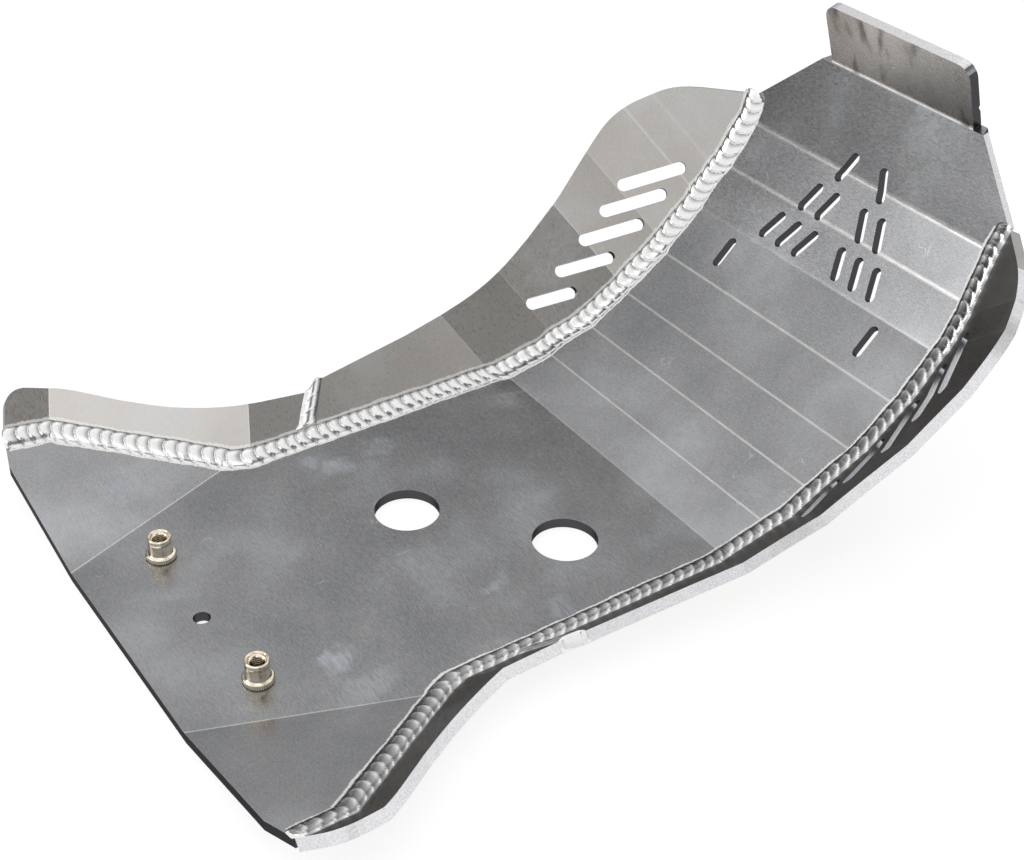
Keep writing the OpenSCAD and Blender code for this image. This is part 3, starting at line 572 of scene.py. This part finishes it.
    # Fold lines: a painted highlight 0.7 mm wide along each fold, where the bend would catch the light.
    for axis, low, high, places in creases:
        far_along = add(tree, "ShaderNodeVectorMath", {0: place_in, 1: tuple(axis)},
                        operation="DOT_PRODUCT").outputs["Value"]
        scaled = add(tree, "ShaderNodeMapRange", {"Value": far_along, "From Min": low * MM,
                                                  "From Max": high * MM}).outputs[0]
        spikes = []
        for at, width, bright in places:
            half = width / 2 / (high - low)
            spot = (at - low) / (high - low)
            spikes += [(spot - half, 0.0), (spot - half * 0.4, bright), (spot + half * 0.4, bright),
                       (spot + half, 0.0)]
        fold = stops(add(tree, "ShaderNodeValToRGB", {"Fac": scaled}), spikes).outputs["Color"]
        painted_fold_line = add(tree, "ShaderNodeMath", {0: fold, 1: add(tree, "ShaderNodeMapRange", {
            "Value": wipe, "From Min": 0.3, "From Max": 0.6, "To Min": 0.55, "To Max": 1.0}).outputs[0]},
            operation="MULTIPLY").outputs[0]
        # Painted highlight: the fold lines are mixed in as near-white colour, dimmed in patches by the wipe
        # noise.
        body = add(tree, "ShaderNodeMix", {0: painted_fold_line, 6: body, 7: linear("#f0efec")},
                   data_type="RGBA").outputs[2]

    # Cut edges: where the surface turns away from the faces of the sheet.
    stipple = stops(add(tree, "ShaderNodeValToRGB", {"Fac": speckle}),
                    [(0.35, "#cfcfd2"), (0.6, "#ececee")]).outputs["Color"]
    inside = add(tree, "ShaderNodeVectorMath", {0: place_in, 1: (0, 1, 0)},
                 operation="DOT_PRODUCT").outputs["Value"]
    inside = add(tree, "ShaderNodeMath", {0: inside}, operation="ABSOLUTE").outputs[0]
    for axis, side_axis, low, high, facing, shade_within in cut_edges:
        turned_away = add(tree, "ShaderNodeVectorMath", {0: normal, 1: tuple(axis)},
                          operation="DOT_PRODUCT").outputs["Value"]
        turned_away = add(tree, "ShaderNodeMath", {0: turned_away}, operation="ABSOLUTE").outputs[0]
        edge = add(tree, "ShaderNodeMath", {0: turned_away, 1: abs(facing)},
                   operation="GREATER_THAN" if facing > 0 else "LESS_THAN").outputs[0]
        at = add(tree, "ShaderNodeVectorMath", {0: place_in, 1: tuple(side_axis)},
                 operation="DOT_PRODUCT").outputs["Value"]
        for limit, test in ((low, "GREATER_THAN"), (high, "LESS_THAN")):
            here = add(tree, "ShaderNodeMath", {0: at, 1: limit * MM}, operation=test).outputs[0]
            edge = add(tree, "ShaderNodeMath", {0: edge, 1: here}, operation="MULTIPLY").outputs[0]
        # Painted shade: walls within that reach of the middle line are painted dark; the others get the pale
        # stippled colour.
        hole = add(tree, "ShaderNodeMath", {0: inside, 1: shade_within * MM}, operation="LESS_THAN").outputs[0]
        wall = add(tree, "ShaderNodeMix", {0: hole, 6: stipple, 7: linear("#4a4a4d")},
                   data_type="RGBA").outputs[2]
        body = add(tree, "ShaderNodeMix", {0: edge, 6: body, 7: wall}, data_type="RGBA").outputs[2]

    # The outer arris of a sawn edge is painted with a dark line 0.3 mm wide.
    if arris:
        outward = add(tree, "ShaderNodeVectorMath", {0: normal, 1: tuple(arris)},
                      operation="DOT_PRODUCT").outputs["Value"]
        seen = [add(tree, "ShaderNodeMath", {0: outward, 1: limit}, operation=test).outputs[0]
                for limit, test in ((0.25, "GREATER_THAN"), (0.97, "LESS_THAN"))]
        outline = add(tree, "ShaderNodeMath", {0: seen[0], 1: seen[1]}, operation="MULTIPLY").outputs[0]
        body = add(tree, "ShaderNodeMix", {0: outline, 6: body, 7: linear("#3c3c40")},
                   data_type="RGBA").outputs[2]

    rough = add(tree, "ShaderNodeMapRange", {"Value": grain, "From Min": 0.3, "From Max": 0.7,
                                             "To Min": roughness[0], "To Max": roughness[1]}).outputs[0]
    rough = add(tree, "ShaderNodeMath", {0: smear, 1: 0.25, 2: rough}, operation="MULTIPLY_ADD").outputs[0]
    relief = add(tree, "ShaderNodeBump", {"Height": grain, "Strength": 0.03, "Distance": 0.03 * MM}).outputs[0]
    shader = add(tree, "ShaderNodeBsdfPrincipled", {
        "Base Color": body, "Metallic": 1.0, "Roughness": rough, "Specular Tint": (0.35, 0.35, 0.35, 1),
        "Normal": relief})
    add(tree, "ShaderNodeOutputMaterial", {"Surface": shader.outputs[0]})
    return material


def bead_metal(name, puddle):
    """Aluminium weld bead, laid as stacked puddles. Each puddle carries a painted highlight on
    its crest and painted shade falling to a thin dark line where it meets the last, and the bead
    has a frosted border where the arc has cleaned the sheet. The greyer copy is painted shade
    for the bead that faces away from the light."""
    material, tree = new_material(name)
    zone = add(tree, "ShaderNodeAttribute", attribute_name="zone").outputs["Fac"]
    place_in = add(tree, "ShaderNodeTexCoord").outputs["Object"]
    # Frosting of about 0.8 mm, coarser than the real one so that it shows.
    fine = add(tree, "ShaderNodeTexNoise", {
        "Vector": place_in, "Scale": 1 / (0.8 * MM), "Detail": 2.0}).outputs["Fac"]
    tone = stops(add(tree, "ShaderNodeValToRGB", {"Fac": zone}), puddle + [
        (0.62, "#d6d5d3"), (0.8, "#d6d5d3"), (0.92, "#eeeeec")]).outputs["Color"]
    soot = add(tree, "ShaderNodeMapRange", {"Value": fine, "From Min": 0.55, "From Max": 0.75,
                                            "To Min": 0.0, "To Max": 0.25}).outputs[0]
    tone = add(tree, "ShaderNodeMix", {0: soot, 6: tone, 7: linear("#8f8f90")}, data_type="RGBA").outputs[2]
    border = add(tree, "ShaderNodeMapRange", {"Value": zone, "From Min": 0.6, "From Max": 0.9,
                                              "To Min": 0.17, "To Max": 0.65}).outputs[0]
    relief = add(tree, "ShaderNodeBump", {"Height": fine, "Strength": 0.4, "Distance": 0.05 * MM}).outputs[0]
    shader = add(tree, "ShaderNodeBsdfPrincipled", {
        "Base Color": tone, "Metallic": 1.0, "Roughness": border, "Normal": relief})
    add(tree, "ShaderNodeOutputMaterial", {"Surface": shader.outputs[0]})
    return material


def plated_steel():
    """Zinc-plated turned steel with a pale yellow passivation. The eye sees a bright
    champagne metal with fine turning lines round it; the thread is painted darker, as painted shade deep in
    the bore."""
    material, tree = new_material("yellow_zinc_plated_steel")
    zone = add(tree, "ShaderNodeAttribute", attribute_name="zone").outputs["Fac"]
    place_in = add(tree, "ShaderNodeTexCoord").outputs["Object"]
    rings = add(tree, "ShaderNodeMapping", {"Vector": place_in, "Scale": (40, 40, 1 / (0.35 * MM))}).outputs[0]
    turning = add(tree, "ShaderNodeTexNoise", {"Vector": rings, "Scale": 1.0, "Detail": 2.0}).outputs["Fac"]
    cloud = add(tree, "ShaderNodeTexNoise", {
        "Vector": place_in, "Scale": 1 / (3 * MM), "Detail": 2.0}).outputs["Fac"]
    tone = stops(add(tree, "ShaderNodeValToRGB", {"Fac": cloud}),
                 [(0.35, "#ddd0b9"), (0.65, "#f3ebdd")]).outputs["Color"]
    # Painted shade: the thread, deep in the bore, is painted darker.
    tone = add(tree, "ShaderNodeMix", {0: zone, 6: tone, 7: linear("#8f8370")}, data_type="RGBA").outputs[2]
    rough = add(tree, "ShaderNodeMapRange", {"Value": turning, "From Min": 0.3, "From Max": 0.7,
                                             "To Min": 0.1, "To Max": 0.2}).outputs[0]
    relief = add(tree, "ShaderNodeBump", {
        "Height": turning, "Strength": 0.2, "Distance": 0.03 * MM}).outputs[0]
    shader = add(tree, "ShaderNodeBsdfPrincipled", {
        "Base Color": tone, "Metallic": 1.0, "Roughness": rough, "Normal": relief})
    add(tree, "ShaderNodeOutputMaterial", {"Surface": shader.outputs[0]})
    return material


# Smears on the floor: x, y, half sizes, turn and weight, in millimetres from the part's origin.
SMEARS = [(11, 59, 9, 8, 0, 0.55), (1, 69, 5, 6, 0, 0.4), (34, 62, 10, 7, 30, 0.3),
          (-51, -50, 10, 8, 20, 0.75), (-47, -70, 15, 9, 10, 0.3), (27, -46, 9, 4, 40, 0.35),
          (39, -73, 9, 9, 0, 0.3), (107, 65, 14, 4, 0, 0.35), (-77, 92, 18, 14, 0, 0.3),
          (-88, 20, 9, 6, 0, 0.25), (97, -58, 10, 7, 0, 0.2), (150, -60, 10, 8, 0, 0.2)]
FLANGE = (-0.943, 0, -0.334)
PANEL_FACE = (-0.84, 0, 0.545)
# Cut edges, each as: axis the surface is measured against; axis and limits of the stretch, in
# millimetres; how far it has to face that axis, or if negative how little; and how far from
# the middle line its walls are painted dark as shade, or -1 for none.
PLATE_EDGES = [((-0.707, 0, 0.707), (1, 0, 0), -200, 115, 0.85, -1),
               ((0, 0, 1), (1, 0, 0), -200, 115, -0.3, 400),
               (PANEL_FACE, (1, 0, 0), 115, 400, -0.4, 60),
               (PANEL_FACE, (0, 0, 1), 124, 146, -0.4, 47),
               ((-0.334, 0, 0.943), (0, 0, 1), 171.5, 400, 0.85, -1)]
# Painted fold highlights, each as an axis, the stretch along it, and per fold its place, width and brightness.
PLATE_FOLD_HIGHLIGHTS = [((1, 0, 0), 110, 290, [
    (FLOOR / 2 + crease(i)[0], 0.65, 0.6) for i in range(1, CREASES + 1)])]
for side in (1, -1):
    turn = (-sine(EAR_TURN), side * cosine(EAR_TURN), 0)
    at = Vector((-FLOOR / 2, side * EAR_HALF, 0)).dot(Vector(turn))
    PLATE_FOLD_HIGHLIGHTS.append((turn, at - 10, at + 10, [(at, 0.9, 0.5)]))


def wing_fold_highlights(line, rake):
    home = Vector((FLOOR / 2, 0, SHEET)).dot(along(rake))
    places = [(home + a, 0.8, 0.3) for a, b in line[1:-1]]
    return [(along(rake), places[0][0] - 20, places[-1][0] + 20, places)]


def wing_sheet(name, line, rake, mirrored, tones, roughness):
    return sheet_metal(name, along(rake), up(rake), [(THROUGH, (1, 0, 0), -400, 400, -0.5, -1)],
                       wing_fold_highlights(line, rake), [], tones, roughness, mirrored, arris=THROUGH)


WING_TONES = ("#a9a5a1", "#bab7b3")
PLATE_TONES = ("#858688", "#a8a8a9")
materials = {"center_plate": sheet_metal(
    "rolled_aluminium_sheet", (1, 0, 0), (0, 1, 0), PLATE_EDGES, PLATE_FOLD_HIGHLIGHTS, SMEARS,
    PLATE_TONES, (0.22, 0.3), lit_face=FLANGE)}
for name, line, rake in (("front_wing", FRONT_FEET, FRONT_RAKE), ("rear_wing", REAR_FEET, REAR_RAKE)):
    for side, mirrored in (("_left", False), ("_right", True)):
        materials[name + side] = wing_sheet("brushed_aluminium_" + name + side, line, rake,
                                            mirrored, WING_TONES, (0.26, 0.34))
# Puddle tones: a painted highlight on each crest, painted shade down to a dark line where puddles meet.
weld_metal = bead_metal("welded_aluminium_bright_bead", [
    (0.0, "#8c8c90"), (0.03, "#c4c4c5"), (0.1, "#eeeeed"), (0.3, "#e6e6e5"),
    (0.42, "#b9b9bb"), (0.5, "#7c7c80")])
# Painted shade: the right bead faces away from the light, so its puddles are painted greyer, with painted
# highlight crescents.
shaded_weld_metal = bead_metal("welded_aluminium_grey_bead", [
    (0.0, "#7a7a7e"), (0.04, "#f8f8f6"), (0.12, "#e4e4e3"), (0.24, "#b6b6b8"),
    (0.42, "#98989b"), (0.5, "#737377")])
nut_metal = plated_steel()
for bead in beads:
    bead.data.materials.append(shaded_weld_metal if bead.name == "seam_bead_right" else weld_metal)
for nut in inserts:
    nut.data.materials.append(nut_metal)
for name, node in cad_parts.items():
    made = materials.get(name) or (weld_metal if "weld" in name else nut_metal)
    for slot in node.material_slots:
        slot.link = "OBJECT"
        slot.material = made

# ------------------------------------------------ softened edges and folds
# The CAD's triangles are joined into flat panels, shaded flat, and their edges broken.
flat = bpy.data.node_groups.new("flat_faces", "GeometryNodeTree")
flat.interface.new_socket("Geometry", in_out="INPUT", socket_type="NodeSocketGeometry")
flat.interface.new_socket("Geometry", in_out="OUTPUT", socket_type="NodeSocketGeometry")
shape_in = add(flat, "NodeGroupInput")
faceted = add(flat, "GeometryNodeSetShadeSmooth", {
    "Geometry": shape_in.outputs[0], "Shade Smooth": False})
add(flat, "NodeGroupOutput", {0: faceted.outputs[0]})
for name in materials:
    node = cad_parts[name]
    joined = node.modifiers.new("joined", "WELD")
    joined.merge_threshold = 0.02 * MM
    flats = node.modifiers.new("flats", "DECIMATE")
    flats.decimate_type = "DISSOLVE"
    flats.angle_limit = math.radians(1.5)
    node.modifiers.new("plain", "NODES").node_group = flat
    edges = node.modifiers.new("edges", "BEVEL")
    edges.width = (0.5 if "wing" in name else 0.35) * MM
    edges.segments = 2
    edges.limit_method = "ANGLE"
    edges.angle_limit = math.radians(30)


# ------------------------------------------------------------ floor, light
def studio_floor():
    """Matt white table. The eye sees it as plain white, with the part's soft shadow."""
    material, tree = new_material("matt_white_table")
    path = add(tree, "ShaderNodeLightPath")
    seen = add(tree, "ShaderNodeMath", {
        0: path.outputs["Is Camera Ray"], 1: path.outputs["Is Glossy Ray"]},
        operation="MAXIMUM").outputs[0]
    seen = add(tree, "ShaderNodeMath", {0: seen, 1: path.outputs["Is Transmission Ray"]},
               operation="MAXIMUM").outputs[0]
    matt = add(tree, "ShaderNodeBsdfDiffuse", {"Color": linear("#e8e8e8")})
    shaded = add(tree, "ShaderNodeBsdfDiffuse", {"Color": (0.28, 0.28, 0.28, 1)})
    glow = add(tree, "ShaderNodeEmission", {"Color": (1, 1, 1, 1), "Strength": 0.8})
    white = add(tree, "ShaderNodeAddShader", {0: shaded.outputs[0], 1: glow.outputs[0]})
    both = add(tree, "ShaderNodeMixShader", {0: seen, 1: matt.outputs[0], 2: white.outputs[0]})
    add(tree, "ShaderNodeOutputMaterial", {"Surface": both.outputs[0]})
    return material


floor_mesh = bpy.data.meshes.new("table")
floor_mesh.from_pydata([(-6, -6, 0), (6, -6, 0), (6, 6, 0), (-6, 6, 0)], [], [(0, 1, 2, 3)])
floor_mesh.materials.append(studio_floor())
table = bpy.data.objects.new("table", floor_mesh)
table.location = (0, 0, -0.3 * MM)
bpy.context.scene.collection.objects.link(table)

world = bpy.data.worlds.new("studio")
world.use_nodes = True
bpy.context.scene.world = world
sky = world.node_tree
sky.nodes.clear()
way = add(sky, "ShaderNodeTexCoord").outputs["Generated"]
across = add(sky, "ShaderNodeVectorMath", {0: way, 1: (0, 0.5, 0)},
             operation="DOT_PRODUCT").outputs["Value"]
ahead = add(sky, "ShaderNodeMath", {0: across, 1: 0.5}, operation="ADD").outputs[0]
# The room: even white, falling to grey beyond the plate's left side. Values are halved here.
room = stops(add(sky, "ShaderNodeValToRGB", {"Fac": ahead}), [
    (0.0, 0.52), (0.65, 0.52), (0.75, 0.62), (0.78, 0.56), (0.8, 0.48), (0.82, 0.37), (0.84, 0.29),
    (1.0, 0.14)]).outputs["Color"]


def patch_of_sky(level, toward, inner, outer, gain):
    """Scales the sky's level inside a round patch; angles in degrees from its middle."""
    near = add(sky, "ShaderNodeVectorMath", {0: way, 1: Vector(toward).normalized()},
               operation="DOT_PRODUCT").outputs["Value"]
    gained = add(sky, "ShaderNodeMapRange", {
        "Value": near, "From Min": cosine(outer), "From Max": cosine(inner), "To Min": 1.0,
        "To Max": gain}, interpolation_type="SMOOTHSTEP").outputs[0]
    return add(sky, "ShaderNodeVectorMath", {0: level, "Scale": gained}, operation="SCALE").outputs[0]


# Bright and dark regions of the room, which the panels of the part reflect.
for toward, inner, outer, gain in (
        ((-0.8, 0.42, 0.43), 4, 14, 5.2), ((0.2, 0.77, 0.6), 2, 14, 1.4),
        ((0.52, 0.63, 0.57), 4, 20, 0.55), ((-0.68, 0.72, 0.25), 6, 22, 0.25),
        ((-0.58, 0.72, 0.4), 4, 15, 0.5), ((0.26, -0.49, 0.83), 5, 17, 0.12),
        ((-0.16, -0.36, 0.92), 3, 18, 1.8), ((0.36, 0.66, 0.66), 5, 15, 1.35),
        ((0.365, 0.877, 0.322), 6, 18, 2.1), ((-0.05, -0.67, 0.74), 4, 15, 0.1)):
    room = patch_of_sky(room, toward, inner, outer, gain)
glow = add(sky, "ShaderNodeBackground", {"Color": room, "Strength": 2.0})
add(sky, "ShaderNodeOutputWorld", {"Surface": glow.outputs[0]})
